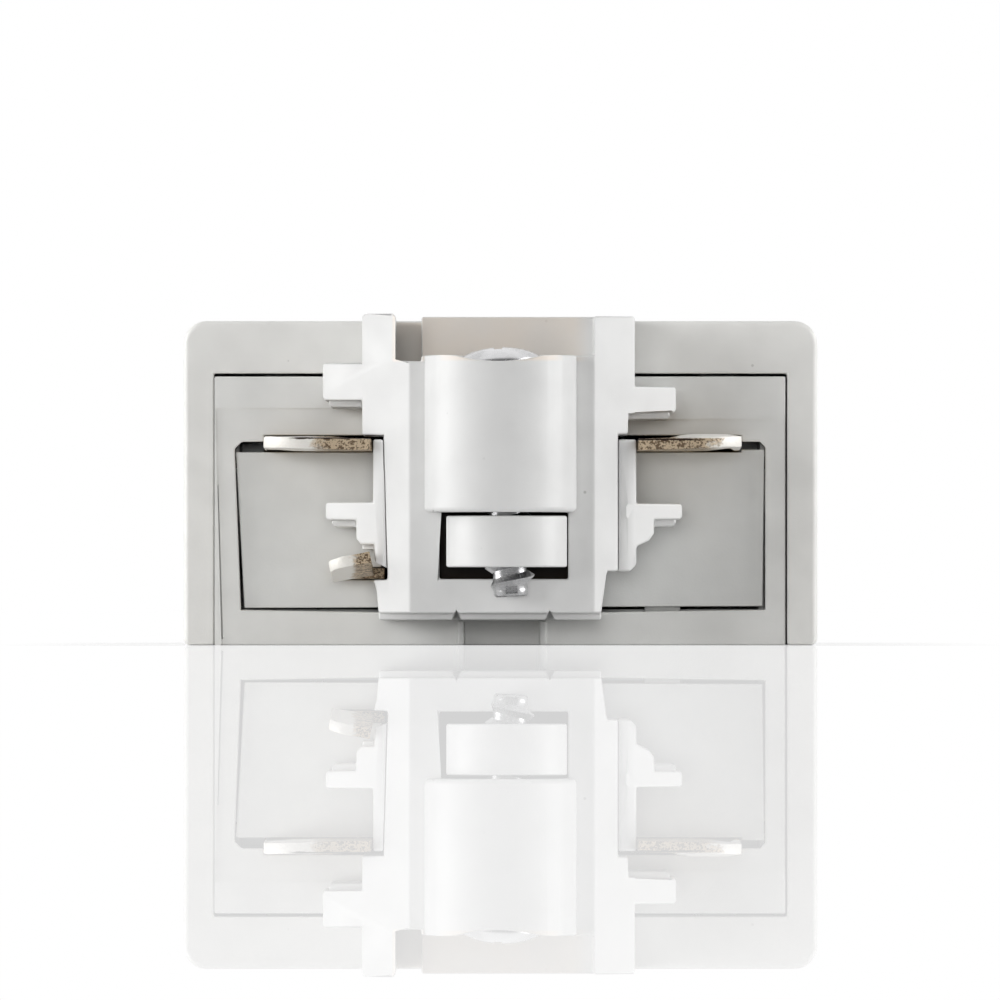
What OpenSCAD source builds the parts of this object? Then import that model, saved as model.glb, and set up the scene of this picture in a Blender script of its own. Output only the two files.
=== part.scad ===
// Center feed for a single-circuit lighting track: a housing with a contact tongue at each end.
// X runs across the track, Y along it and Z out of the ceiling; the back of the housing lies on z = 0.

/* [Housing] */
// Length of the housing over its end walls
house_len = 76; // [72:1:90]
// Width over the cover, which is the width of the track
cover_w = 35.6; // [35.4:0.1:35.8]
// Height over the cover, which is the height of the track
cover_h = 18.2; // [18:0.1:18.4]
// Radius of the cover's two long outer edges
cover_r = 1.3; // [0.8:0.1:1.6]
// Thickness of the cover's side walls
cover_wall = 1.7; // [1.6:0.05:1.8]
// Thickness of the cover's top over the end walls
cover_lip = 2.95; // [2.9:0.05:3.1]
// Thickness of the cover's top between the end walls
cover_top = 2.2; // [1.8:0.1:2.6]
// Thickness of the base's floor
floor_t = 2; // [1.9:0.05:2]
// Thickness of the base's end walls
end_wall = 2.6; // [2.4:0.1:3]
// Thickness of the base's side walls
side_wall = 1.4; // [1.2:0.1:1.5]
// Diameter of the hole for the supply wires
wire_hole_d = 22; // [18:0.5:22.5]
// Place of that hole along the housing
wire_hole_y = -10.5; // [-12:0.5:-8]
// Distance between the two ceiling fixing holes
fixing_pitch = 52; // [50:1:54]
// Diameter of the ceiling fixing holes
fixing_d = 4.4; // [3.5:0.1:5]

/* [End wall] */
// Width of the window that the end panel closes
window_w = 29.7; // [29:0.1:29.8]
// Height of the window's top edge over the blades
window_top = 11.78; // [11.6:0.02:11.9]
// How far the field's left edge leans in at its foot
edge_lean = 0.42; // [0.2:0.02:0.8]
// Depth of the sunk field on the end wall
field_sunk = 0.12; // [0.05:0.01:0.3]
// Width of the channel in the base's back
channel_w = 4.25; // [3.5:0.05:5]
// Depth of the channel in the base's back
channel_h = 1.4; // [1:0.1:1.5]

/* [Tongue] */
// Length of each tongue in front of the housing
tongue_len = 22; // [20:0.5:26]
// Diameter of the screw boss
boss_d = 8.44; // [8.2:0.02:8.6]
// Height of the boss's lower end
boss_low = 7.4; // [7.36:0.02:7.6]
// Height of the boss's upper end
boss_top = 16.1; // [15.9:0.05:16.2]
// Distance from the tongue's front end to the boss's axis
boss_set = 4.5; // [4.3:0.1:5]
// Distance from the front end to the flat face that the boss stands on
face_set = 6.2; // [6.2:0.1:7]
// Angle at which the nose falls back on both sides of that face, in degrees
nose_slope = 40; // [30:1:45]
// Height of the rib's top edge
rib_top = 18.45; // [18.3:0.05:18.6]
// Height of the tongue's top face
tongue_top = 18.3; // [18.2:0.05:18.4]
// Radius of the tabs' and the rib's corners
tab_r = 0.22; // [0.1:0.02:0.3]
// How much the tabs' and foot's lower edges are lifted at the nose
lead_in = 0.38; // [0.1:0.02:0.5]

/* [Lock screw] */
// Outer diameter of the thread
screw_d = 2.75; // [2.6:0.05:2.9]
// Diameter of the screw under its thread
screw_core_d = 1.9; // [1.7:0.05:2]
// Diameter of the screw's head
head_d = 4.76; // [4.5:0.02:5]
// Lean of the loose screw in its boss, in degrees
screw_lean = 3; // [0:0.5:3]
// Width of the clamp block
clamp_w = 6.7; // [6.5:0.05:6.75]
// Height of the clamp block
clamp_h = 2.85; // [2.7:0.05:2.9]

/* [Conductors] */
// Thickness of the line and neutral bars
bar_t = 0.62; // [0.5:0.02:0.62]
// Thickness of the ground bar
ground_t = 0.6; // [0.5:0.05:0.6]
// Distance from the tongue's front end to the tips of the blades
blade_set = 7.3; // [7:0.1:9]
// Lean of the ground leaf to its outer side, in degrees
leaf_lean = 10; // [0:1:12]
// Rise of the ground leaf to its tip
leaf_rise = 0.7; // [0.4:0.05:0.8]

/* [Terminals] */
// Width of a wire cage over its walls
cage_w = 5.9; // [5.6:0.1:6]
// Wall thickness of a wire cage
cage_t = 0.85; // [0.7:0.05:0.9]
// Height of the space inside a cage
cage_room = 5.4; // [5:0.1:5.4]
// Length of a cage along the wire
cage_len = 6.5; // [5:0.1:6.6]
// Diameter of the terminal screws
terminal_d = 3; // [2.5:0.1:3]
// Radial clearance of a screw in the thread or hole that it turns in
turn_gap = 0.05; // [0.02:0.01:0.08]

/* [Hidden] */
$fn = 48;

// Overlap of joined shapes, and overrun of cuts
eps = 0.05;
over = 1;

// Housing: the cover's inner faces and the base's outer faces inside them
house_y = house_len / 2;
shell_left = -cover_w / 2 + cover_wall;
shell_right = cover_w / 2 - cover_wall;
shell_top = cover_h - cover_lip;
left_gap = 0.03;
right_gap = 0.09;
top_gap = 0.16;
base_left = shell_left + left_gap;
base_right = shell_right - right_gap;
base_top = shell_top - top_gap;
room_left = base_left + side_wall;
room_right = base_right - side_wall;
room_y = house_y - end_wall;

// End wall: window, pocket of the panel, ledges and channel
window_left = -window_w / 2 - 0.08;
window_right = window_w / 2 + 0.02;
window_low = 1.84;
window_lean = 0.35;
slot_top = 11.42;
slot_side = 0.1;
pocket_depth = 1.8;
panel_t = 1.3;
panel_top = 10.84;
panel_low = 2.08;
groove_w = 0.1;
groove_depth = 0.6;
groove_low = 0.35;
groove_top = 9;
ledge_left = 13.3;
ledge_right = 12.7;
channel_left = 0.08 - channel_w / 2;
channel_lip = 0.35;
channel_len = 1.2;

// Tongue: faces, and the root that goes into the housing
tip_y = house_y + tongue_len;
boss_y = boss_set - tip_y;
face_y = face_set - tip_y;
face_left = -5.05;
face_right = 5.2;
boss_rim_r = 0.3;
foot_z = 1.8;
notch_left = -5.85;
notch_right = -4.4;
notch_floor = 15.8;
head_room_depth = 10;
foot_nose = 2.4;
tab_nose = 5;
tab_step = 0.35;
left_cap_set = 1.2;
right_cap_set = 1.6;
root_left = -6.2;
root_right = 5.2;
root_low = 3.4;
root_high = 10.4;
root_len = 8.4;
post_y = house_y - 6.2;
post_w = 6;
post_set = 2.6;
root_gap = 0.02;
root_screw_top = 8.4;
cover_screw_low = 9;

// Left edge of the tongue's body from its foot up, as [x, z]
body_left = [[-6.78, foot_z], [-6.9, 3.07], [-7.06, 3.65], [-6.28, 3.65], [-6.28, 4.2], [-6.5, 11.46],
    [-6.5, 11.7], [-7.7, 11.7], [-7.7, tongue_top]];
// Right edge of the tongue's body from its foot up, as [x, z]
body_right = [[5.6, foot_z], [5.88, 3.9], [5.95, 4.13], [6.53, 4.13], [6.53, 11.76], [7.09, 11.76],
    [7.09, 12.93], [7.47, 12.93], [7.47, tongue_top]];
// Keying tabs as [outer x, inner x, low z, high z]
upper_left_tab = [-9.9, -7.1, 13.65, 15.72];
upper_right_tab = [6.9, 9.78, 12.98, 14.4];
lower_left_tab = [-9.74, -6.6, 6.99, 7.98];
lower_right_tab = [7, 10.12, 7.01, 7.9];

// Clamp block and its window
clamp_x = 0.34;
clamp_low = 4.35;
clamp_back = 5;
clamp_window = [-3.4, 3.76, 3.69, boss_low];
clamp_window_depth = 12;

// Lock screw: a point on its axis, and its lengths from there
screw_at = [0.2, boss_y, 10];
screw_down = 7.3;
thread_down = 6.9;
seat_up = 5.2;
rim_up = 5.9;
dome_up = 6.56;
seat_z = 15;
seat_r = 2.75;
boss_bore_r = 1.9;

// Conductors
blade_low = 10.88;
line_blade = [-13.2, -7.19];
neutral_blade = [7.66, 13.43];
bar_inner = 11.3;
bar_outer = 13.3;
blade_inset = 34;
ground_low = 3.72;
ground_blade = [-9.4, -6.5];
ground_inner = 11.2;
ground_outer = 14.2;

// Terminals: wells, cages, ears of the bars and screws
well_pitch = 7.15;
well_wall = 0.85;
well_edge = 11.1;
well_front = 2.6;
well_back = 10.5;
ear_back = 14;
ear_reach = 17.5;
ear_w = 3.8;
ear_top = 8.4;
cage_low = 2.35;
cage_y = 6.65;
plate_low = 12.4;
plate_t = 0.8;
head_gap = 0.02;
terminal_head_d = 4.7;
terminal_head_h = 1.6;
carrier_plate = 3.6;
carrier_back = 22.4;
carrier_screw_x = [-8, 8];
carrier_screw_y = 20;
stack_y = [-24.5, -1, 24.5];
stack_t = 1.6;

// Self-tapping screws: shanks, the holes they bite into and the holes they pass
shank_r = 1.35;
bite_r = 1.4;
pass_r = 1.5;
sink_r = 2.75;
sink_h = 1.25;
carrier_shank_r = 1.1;
carrier_bite_r = 1.15;
carrier_pass_r = 1.25;
pilot_low = 0.5;

// Pads behind the end panel, as [left, right, low, high]
panel_pads = [[-16, window_left + 1.2, 10, panel_top - 0.3], [window_right - 0.6, 16, 7.4, panel_top - 0.3],
    [8.1, 10.1, 0, 2.6]];

// Box between two opposite corners
module block(low, high) {
    translate(low) cube(high - low);
}

// Pushes an X-Z outline along Y, from y0 to y1
module run(y0, y1) {
    translate([0, y1, 0]) rotate([90, 0, 0]) linear_extrude(y1 - y0) children();
}

// Repeats a shape at the far end of the feed
module both_ends() {
    children();
    mirror([0, 1, 0]) children();
}

// Upright hole
module hole(x, y, r, z0, z1) {
    translate([x, y, z0]) cylinder(r = r, h = z1 - z0);
}

// Outline with rounded upper corners, from x0 to x1 and from 0 to h
module arched(x0, x1, h, r) {
    translate([x0, 0]) square([x1 - x0, h - r]);
    translate([x0 + r, 0]) square([x1 - x0 - 2 * r, h]);
    for (x = [x0 + r, x1 - r]) translate([x, h - r]) circle(r);
}

// Outline of the end wall's window: it narrows to its foot on the left, and is higher over the blades
module window() {
    blade_left = line_blade[0] - slot_side;
    blade_right = neutral_blade[1] + slot_side;
    left_corner = 0.4;
    right_corner = 0.3;
    corner_rise = 0.14;
    polygon([[window_left + window_lean, window_low + corner_rise], [body_left[0][0], window_low],
        [body_right[0][0], window_low], [window_right, window_low + corner_rise],
        [window_right, slot_top - right_corner], [window_right - right_corner, slot_top],
        [blade_right, slot_top], [blade_right, window_top],
        [blade_left, window_top], [blade_left, slot_top],
        [window_left + left_corner, slot_top], [window_left, slot_top - left_corner]]);
}

// Outline of the end panel, higher beside the right blade, with a gap that opens towards its foot
module panel_outline() {
    left_gaps = [0.19, 0.06];
    right_gaps = [0.15, 0.04];
    step_x = neutral_blade[1] + slot_side;
    step_top = panel_top + 0.15;
    low_rise = 0.1;
    polygon([[window_left + window_lean + left_gaps[0], panel_low],
        [window_right - right_gaps[0], panel_low + low_rise],
        [window_right - right_gaps[1], step_top], [step_x, step_top], [step_x, panel_top],
        [window_left + left_gaps[1], panel_top]]);
}

// Moulded tray: floor, walls, end windows, posts for the bars, and every hole to the ceiling
module base() {
    color("silver") difference() {
        union() {
            difference() {
                block([base_left, -house_y, 0], [base_right, house_y, base_top]);
                block([room_left, -room_y, floor_t], [room_right, room_y, base_top + over]);
                both_ends() end_wall_cuts();
            }
            for (y = stack_y) bar_post(y);
            both_ends() channel_lips();
        }
        hole(0, wire_hole_y, wire_hole_d / 2, -over, floor_t + over);
        for (y = [-1, 1] * fixing_pitch / 2) hole(0, y, fixing_d / 2, -over, floor_t + over);
        for (x = carrier_screw_x) hole(x, carrier_screw_y, carrier_bite_r, pilot_low, floor_t + over);
        for (y = [-1, 1] * post_y) tongue_screw_hole(y);
    }
}

// Cuts in one end wall: window with pads behind its panel, sunk field, leaning groove and channel
module end_wall_cuts() {
    field_left = base_left + edge_lean;
    edge_top = base_left + 0.06;
    lean = (edge_top - field_left) / (ledge_left + over);
    groove_start = field_left + lean * (groove_low + over);
    groove_end = field_left + lean * (groove_top + over);
    difference() {
        run(-house_y - over, -room_y + over) window();
        for (pad = panel_pads)
            block([pad[0], -house_y + pocket_depth, pad[2]], [pad[1], -room_y + over, pad[3]]);
    }
    run(-house_y - over, -house_y + field_sunk)
        polygon([[field_left, -over], [base_right + over, -over], [base_right + over, ledge_right],
            [0, ledge_right], [0, ledge_left], [edge_top, ledge_left]]);
    run(-house_y - over, -house_y + groove_depth)
        polygon([[groove_start, groove_low], [groove_start + groove_w, groove_low],
            [groove_end + groove_w / 2, groove_top], [groove_end, groove_top]]);
    block([channel_left, -house_y - over, -over],
        [channel_left + channel_w, -house_y + channel_len, channel_h]);
}

// Raised lips beside the mouth of the channel
module channel_lips() {
    for (x = [channel_left - channel_lip, channel_left + channel_w])
        block([x, -house_y - channel_lip, 0], [x + channel_lip, -house_y + 2 * field_sunk, channel_h - eps]);
}

// Posts on both side walls that carry the bars, with a tunnel for the ground bar on the left
module bar_post(y) {
    bar_slot = 0.1;
    post_top = 12.6;
    post_inner = 10.6;
    tunnel_top = 5.2;
    difference() {
        for (side = [[room_left - eps, -post_inner], [post_inner, room_right + eps]])
            block([side[0], y - stack_t / 2, floor_t - eps], [side[1], y + stack_t / 2, post_top]);
        for (x = [-1, 1] * (bar_inner + bar_outer) / 2)
            translate([x - (bar_outer - bar_inner) / 2 - bar_slot, y - stack_t, blade_low])
                cube([bar_outer - bar_inner + 2 * bar_slot, 2 * stack_t, post_top]);
        block([room_left - over, y - stack_t, ground_low], [-post_inner + over, y + stack_t, tunnel_top]);
    }
}

// Countersunk hole for a tongue screw, from below
module tongue_screw_hole(y) {
    hole(0, y, pass_r, -over, floor_t + over);
    translate([0, y, -eps]) cylinder(r1 = sink_r, r2 = pass_r, h = sink_h + eps);
}

// Moulded shell over the base, with lips on the end walls, hold-down ribs and sunk screw holes
module cover() {
    rib_t = 1.4;
    rib_low = blade_low + bar_t + 0.1;
    color("gainsboro") difference() {
        union() {
            difference() {
                run(-house_y, house_y) arched(-cover_w / 2, cover_w / 2, cover_h, cover_r);
                block([shell_left, -house_y - over, -over], [shell_right, house_y + over, shell_top]);
                block([shell_left, -room_y, -over], [shell_right, room_y, cover_h - cover_top]);
            }
            for (y = stack_y, x = [-1, 1] * (bar_inner + bar_outer) / 2)
                translate([x - 1, y - rib_t / 2, rib_low]) cube([2, rib_t, shell_top + 1 - rib_low]);
            both_ends() translate([0, -post_y, base_top + 0.1]) cylinder(d = post_w, h = 1.5);
        }
        both_ends() {
            hole(0, -post_y, pass_r, 0, cover_h + over);
            translate([0, -post_y, cover_h - sink_h]) cylinder(r1 = pass_r, r2 = sink_r, h = sink_h + eps);
        }
    }
}

// Countersunk self-tapping screw with its head's top at z and its shank pointing down
module countersunk_screw(z, length) {
    head_r = 2.6;
    head_h = head_r - shank_r;
    point = 1.2;
    translate([0, 0, z]) difference() {
        union() {
            translate([0, 0, -head_h]) cylinder(r1 = shank_r, r2 = head_r, h = head_h);
            translate([0, 0, point - length]) cylinder(r = shank_r, h = length - point);
            translate([0, 0, -length]) cylinder(r1 = 0.3, r2 = shank_r, h = point);
        }
        cross_recess(1);
    }
}

// Cross recess sunk by its depth below z = 0
module cross_recess(depth) {
    span = 2.6;
    arm = 0.6;
    for (turn = [0, 90])
        rotate(turn) translate([-span / 2, -arm / 2, -depth]) cube([span, arm, depth + over]);
}

// Two screws that hold the cover to the posts on the tongues' roots
module cover_screws() {
    color("lightsteelblue") both_ends() translate([0, -post_y, 0]) countersunk_screw(cover_h - 0.05, 8.5);
}

// Two screws that hold the tongues' roots to the base, from below
module tongue_screws() {
    color("lightsteelblue") both_ends()
        translate([0, -post_y, 0]) mirror([0, 0, 1]) countersunk_screw(-0.1, 8);
}

// Plate that closes the window beside the tongue's root, with slots under the blades
module panel() {
    slot = 0.05;
    color("darkgray") difference() {
        run(-house_y + pocket_depth - panel_t, -house_y + pocket_depth) panel_outline();
        block([root_left - slot, -house_y, root_low - slot], [root_right + slot, -room_y, panel_top + over]);
        block([ground_blade[0] - slot, -house_y, ground_low - slot],
            [root_left, -room_y, ground_low + ground_t + slot]);
    }
}

// Upright section with round corners, given as [left, right, low, high]
module rounded(size) {
    width = size[1] - size[0];
    height = size[3] - size[2];
    translate([size[0], size[2]]) {
        translate([tab_r, 0]) square([width - 2 * tab_r, height]);
        translate([0, tab_r]) square([width, height - 2 * tab_r]);
        for (x = [tab_r, width - tab_r], z = [tab_r, height - tab_r]) translate([x, z]) circle(tab_r);
    }
}

// Keying tab along the tongue's side, with a narrower ridge under it that starts behind the nose
module tab(size) {
    ridge_left = size[0] < 0 ? size[0] + tab_step : size[0];
    ridge_right = size[0] < 0 ? size[1] : size[1] - tab_step;
    run(face_y, -house_y) rounded(size);
    run(face_y + tab_nose, -house_y) rounded([ridge_left, ridge_right, size[2] - lead_in, size[3] - tab_r]);
}

// Keeps what lies behind the nose, which falls back on both sides of its flat face
module behind_nose() {
    reach = cover_w / 2;
    slope = tan(nose_slope);
    intersection() {
        children();
        linear_extrude(rib_top + over) polygon([[face_left, face_y], [face_right, face_y],
            [reach, face_y + (reach - face_right) * slope], [reach, -room_y],
            [-reach, -room_y], [-reach, face_y + (reach + face_left) * slope]]);
    }
}

// Places a shape on the lock screw's own leaning axis
module on_lock_screw() {
    translate(screw_at) rotate([0, -screw_lean, 0]) children();
}

// Moulded body of one contact tongue
module tongue() {
    color("white") difference() {
        union() {
            behind_nose() tongue_body();
            boss();
            tongue_root();
        }
        block([notch_right - eps, -tip_y - over, boss_top],
            [face_right, head_room_depth - tip_y, rib_top + over]);
        block([notch_left, -tip_y - over, notch_floor], [notch_right, -house_y + over, rib_top + over]);
        block([clamp_window[0], face_y - over, clamp_window[2]],
            [clamp_window[1], clamp_window_depth - tip_y, clamp_window[3]]);
        hole(0, boss_y, boss_bore_r, boss_low - over, seat_z + over);
        hole(0, boss_y, seat_r, seat_z, boss_top + over);
        head_scoop();
        foot_grooves();
        hole(0, -post_y, bite_r, cover_screw_low, base_top + over);
        hole(0, -post_y, bite_r, 0, root_screw_top);
    }
}

// Screw boss, round at its lower rim and joined to the face behind it
module boss() {
    r = boss_d / 2;
    flat_r = r - boss_rim_r;
    hole(0, boss_y, r, boss_low + boss_rim_r, boss_top);
    hole(0, boss_y, flat_r, boss_low, boss_low + boss_rim_r + eps);
    translate([0, boss_y, boss_low + boss_rim_r])
        rotate_extrude() translate([flat_r, 0]) circle(boss_rim_r);
}

// Body of the tongue before its cuts: column, rib, foot and upper tabs
module tongue_body() {
    rib_left = body_left[len(body_left) - 1][0];
    run(face_y, -house_y) polygon(concat(body_right, [for (i = [len(body_left) - 1:-1:0]) body_left[i]]));
    run(face_y, -house_y) rounded([rib_left, notch_left, notch_floor - 1, rib_top]);
    run(face_y + foot_nose, -house_y)
        translate([body_left[0][0], foot_z - lead_in]) square([body_right[0][0] - body_left[0][0], 1]);
    tab(upper_left_tab);
    tab(upper_right_tab);
}

// Root inside the housing, with the post that the cover's screw bites into
module tongue_root() {
    back = root_len - house_y;
    block([root_left, -house_y - eps, root_low], [root_right, back, root_high]);
    for (z = [[floor_t + root_gap, root_low + eps], [root_high - eps, base_top]])
        block([-post_w / 2, -post_y - post_set, z[0]], [post_w / 2, back, z[1]]);
}

// Shallow round scoop in the boss's front rim, under the screw's head
module head_scoop() {
    scoop_r = 8.6;
    scoop_depth = 0.34;
    translate([screw_at[0] - 0.3, -tip_y - over, boss_top + scoop_r - scoop_depth])
        rotate([-90, 0, 0]) cylinder(r = scoop_r, h = boss_set + over);
}

// Two small V grooves along the tongue's foot
module foot_grooves() {
    half_w = 0.3;
    low = foot_z - lead_in - 0.1;
    for (x = [channel_left - 0.4, channel_left + channel_w + 0.55])
        run(-tip_y, -house_y - over) polygon([[x - half_w, low], [x + half_w, low], [x, foot_z + 0.15]]);
}

// Strip with a keying tab that closes the tongue's left side under the line blade
module left_cap() {
    color("whitesmoke") behind_nose() {
        run(face_y + left_cap_set, -house_y)
            polygon([[-6.53, 11.46], [-6.31, 4.3], [-7, 4.66], [-7, 5.62], [-7.78, 5.62], [-8.03, 5.95],
                [-8.03, 7.5], [-7.09, 7.5], [-7.09, 11.46]]);
        block([-7.7, face_y + tab_nose, 5.37], [-7, -house_y, 5.7]);
        tab(lower_left_tab);
    }
}

// Strip with a keying tab that closes the tongue's right side under the neutral blade
module right_cap() {
    color("whitesmoke") behind_nose() {
        run(face_y + right_cap_set, -house_y)
            polygon([[6.56, 11.46], [6.56, 4.13], [7.2, 4.13], [7.56, 4.48], [7.56, 5.5], [8.28, 5.84],
                [8.55, 6.23], [8.55, 7.5], [7.56, 7.5], [7.56, 11.46]]);
        tab(lower_right_tab);
    }
}

// Block with a round front that the lock screw raises and lowers in its window
module clamp_block() {
    thread_r = screw_d / 2 + turn_gap;
    color("whitesmoke") difference() {
        translate([clamp_x, boss_y, clamp_low]) {
            cylinder(d = clamp_w, h = clamp_h);
            translate([-clamp_w / 2, 0, 0]) cube([clamp_w, clamp_back, clamp_h]);
        }
        on_lock_screw() translate([0, 0, -screw_down]) cylinder(r = thread_r, h = screw_down);
    }
}

// Self-tapping lock screw with a domed head, along its own axis
module lock_screw() {
    lead = 0.5;
    dome_h = dome_up - rim_up;
    dome_r = (pow(head_d / 2, 2) + pow(dome_h, 2)) / (2 * dome_h);
    color("lightsteelblue") on_lock_screw() difference() {
        union() {
            translate([0, 0, -screw_down]) cylinder(d = screw_core_d, h = screw_down);
            translate([0, 0, -thread_down]) cylinder(d1 = screw_core_d, d2 = screw_d, h = lead);
            translate([0, 0, lead - thread_down]) cylinder(d = screw_d, h = thread_down + seat_up - lead);
            intersection() {
                translate([0, 0, seat_up]) cylinder(d = head_d, h = 2);
                translate([0, 0, dome_up - dome_r]) sphere(dome_r, $fn = 96);
            }
        }
        translate([0, 0, dome_up]) cross_recess(0.9);
    }
}

// Plan of a straight bar with a round-cornered blade at each end; blade gives the blade's X range
module bar_plan(blade) {
    side = sign(blade[0] + blade[1]);
    outer = max(abs(blade[0]), abs(blade[1]));
    inner = min(abs(blade[0]), abs(blade[1]));
    tip = tip_y - blade_set;
    outer_r = 2.2;
    inner_r = 0.6;
    scale([side, 1]) {
        translate([bar_inner, -blade_inset - 1]) square([bar_outer - bar_inner, 2 * blade_inset + 2]);
        for (end = [-1, 1]) scale([1, end]) {
            translate([inner, blade_inset]) square([outer - inner, tip - blade_inset - outer_r]);
            translate([inner + inner_r, blade_inset])
                square([outer - inner - inner_r - outer_r, tip - blade_inset]);
            translate([inner + inner_r, tip - inner_r]) circle(inner_r);
            translate([inner, tip - outer_r - 1]) square([inner_r, outer_r + 1 - inner_r]);
            translate([outer - outer_r, tip - outer_r]) circle(outer_r);
        }
    }
}

// Shallow coined dome of half width chord on top of a blade, near its tip
module blade_dome(x, chord, rise) {
    r = (chord * chord + rise * rise) / (2 * rise);
    top = blade_low + bar_t;
    both_ends() intersection() {
        translate([x, -tip_y + blade_set + chord + 0.5, top + rise - r]) sphere(r, $fn = 96);
        block([x - 2 * chord, -tip_y, top - eps], [x + 2 * chord, -house_y, top + over]);
    }
}

// Ear of a straight bar: inwards behind the wells, down, and forwards through its cage
module bar_ear(side) {
    well_x = side * well_pitch;
    step_x = side * 10.2;
    low = ear_top - bar_t;
    run(ear_back, ear_reach) polygon([[side * bar_inner + side * eps, blade_low + bar_t],
        [step_x, blade_low + bar_t],
        [step_x, ear_top],
        [well_x - side * ear_w / 2, ear_top],
        [well_x - side * ear_w / 2, low],
        [step_x + side * bar_t, low],
        [step_x + side * bar_t, blade_low],
        [side * bar_inner + side * eps, blade_low]]);
    block([well_x - ear_w / 2, well_front + 0.4, low], [well_x + ear_w / 2, ear_back + eps, ear_top]);
}

// Brass bar from blade to blade on the left
module line_bar() {
    color("darkgoldenrod") {
        translate([0, 0, blade_low]) linear_extrude(bar_t) bar_plan(line_blade);
        blade_dome(line_blade[0] + 2.8, 2.4, 0.14);
        bar_ear(-1);
    }
}

// Brass bar from blade to blade on the right
module neutral_bar() {
    color("darkgoldenrod") {
        translate([0, 0, blade_low]) linear_extrude(bar_t) bar_plan(neutral_blade);
        blade_dome(neutral_blade[1] - 2.1, 1.95, 0.26);
        bar_ear(1);
    }
}

// Ground leaf outside the housing, curved up to its tip and leaning to its outer side
module ground_leaf() {
    leaf_len = tongue_len - 14;
    leaf_w = 2.35;
    leaf_right = -7.06;
    set_up = 0.2;
    r = leaf_len * leaf_len / (2 * leaf_rise);
    corner = 1.1;
    translate([leaf_right, blade_set - tip_y, ground_low + set_up]) rotate([0, -leaf_lean, 0])
        intersection() {
            translate([-leaf_w, leaf_len, r]) rotate([90, 0, 90]) linear_extrude(leaf_w)
                difference() {
                    circle(r, $fn = 360);
                    circle(r - ground_t, $fn = 360);
                }
            translate([0, 0, -over]) linear_extrude(3) {
                translate([-leaf_w, corner]) square([leaf_w, leaf_len]);
                translate([corner - leaf_w, 0]) square([leaf_w - corner, leaf_len]);
                translate([corner - leaf_w, corner]) circle(corner);
            }
        }
}

// Thin ground bar along the left wall, with an arm to the middle cage and a leaf at each end
module ground_bar() {
    strip_end = house_y + 6.5;
    bend_outer = 27;
    bend_inner = 26.2;
    color("goldenrod") {
        translate([0, 0, ground_low]) linear_extrude(ground_t) {
            for (end = [-1, 1]) scale([1, end])
                polygon([[ground_blade[0], strip_end], [ground_blade[1], strip_end],
                    [ground_blade[1], bend_outer + 3], [-ground_inner, bend_inner], [-ground_inner, -eps],
                    [-ground_outer, -eps], [-ground_outer, bend_outer], [ground_blade[0], bend_outer + 3]]);
            translate([-ground_outer, ear_back]) square([ground_outer + ear_w / 2, ear_reach - ear_back]);
        }
        block([-ear_w / 2, ear_back, ground_low], [ear_w / 2, ear_back + ground_t, ear_top]);
        block([-ear_w / 2, well_front + 0.4, ear_top - ground_t], [ear_w / 2, ear_back + ground_t, ear_top]);
        both_ends() ground_leaf();
    }
}

// Steel cage that the terminal screw raises, so that its floor presses the wire to the bar
module cage(x) {
    height = cage_room + 2 * cage_t;
    color("lightgray") translate([x, cage_y - cage_len / 2, cage_low]) difference() {
        translate([-cage_w / 2, 0, 0]) cube([cage_w, cage_len, height]);
        translate([cage_t - cage_w / 2, -over, cage_t])
            cube([cage_w - 2 * cage_t, cage_len + 2 * over, cage_room]);
        hole(0, cage_len / 2, terminal_d / 2 + turn_gap, height / 2, height + over);
    }
}

// Terminal screw with a slotted cheese head that rests on the carrier's plate
module terminal_screw(x) {
    head_z = plate_low + plate_t + head_gap;
    slot_w = 0.8;
    slot_depth = 0.8;
    color("lightsteelblue") translate([x, cage_y, 0]) difference() {
        union() {
            hole(0, 0, terminal_d / 2, ear_top + head_gap, head_z + eps);
            hole(0, 0, terminal_head_d / 2, head_z, head_z + terminal_head_h);
        }
        translate([-terminal_d, -slot_w / 2, head_z + terminal_head_h - slot_depth])
            cube([2 * terminal_d, slot_w, slot_depth + over]);
    }
}

// Moulded carrier: three wells for the cages, a plate that holds the screws down, and a screwed foot
module terminal_carrier() {
    wall_x = well_pitch / 2 - well_wall / 2;
    color("ivory") difference() {
        union() {
            for (x = [-well_edge, -wall_x - well_wall, wall_x, well_edge - well_wall])
                block([x, well_front, floor_t], [x + well_wall, ear_back - 0.5, plate_low + eps]);
            block([-well_edge, well_back, floor_t], [well_edge, ear_back - 0.5, ear_top - bar_t - 0.02]);
            block([-well_edge, well_front, plate_low], [well_edge, ear_back - 0.5, plate_low + plate_t]);
            block([-well_edge, well_back, floor_t], [well_edge, carrier_back, carrier_plate]);
        }
        for (x = [-1, 0, 1] * well_pitch)
            hole(x, cage_y, terminal_d / 2 + turn_gap, plate_low - over, plate_low + plate_t + over);
        for (x = carrier_screw_x) hole(x, carrier_screw_y, carrier_pass_r, 0, carrier_plate + over);
    }
}

// Two pan-head screws that fix the carrier's foot
module carrier_screws() {
    head_r = 2.1;
    head_h = 1.4;
    color("lightsteelblue") for (x = carrier_screw_x) translate([x, carrier_screw_y, 0])
        difference() {
            union() {
                hole(0, 0, carrier_shank_r, pilot_low + 0.1, carrier_plate + eps);
                hole(0, 0, head_r, carrier_plate, carrier_plate + head_h);
            }
            translate([0, 0, carrier_plate + head_h]) cross_recess(0.8);
        }
}

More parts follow.
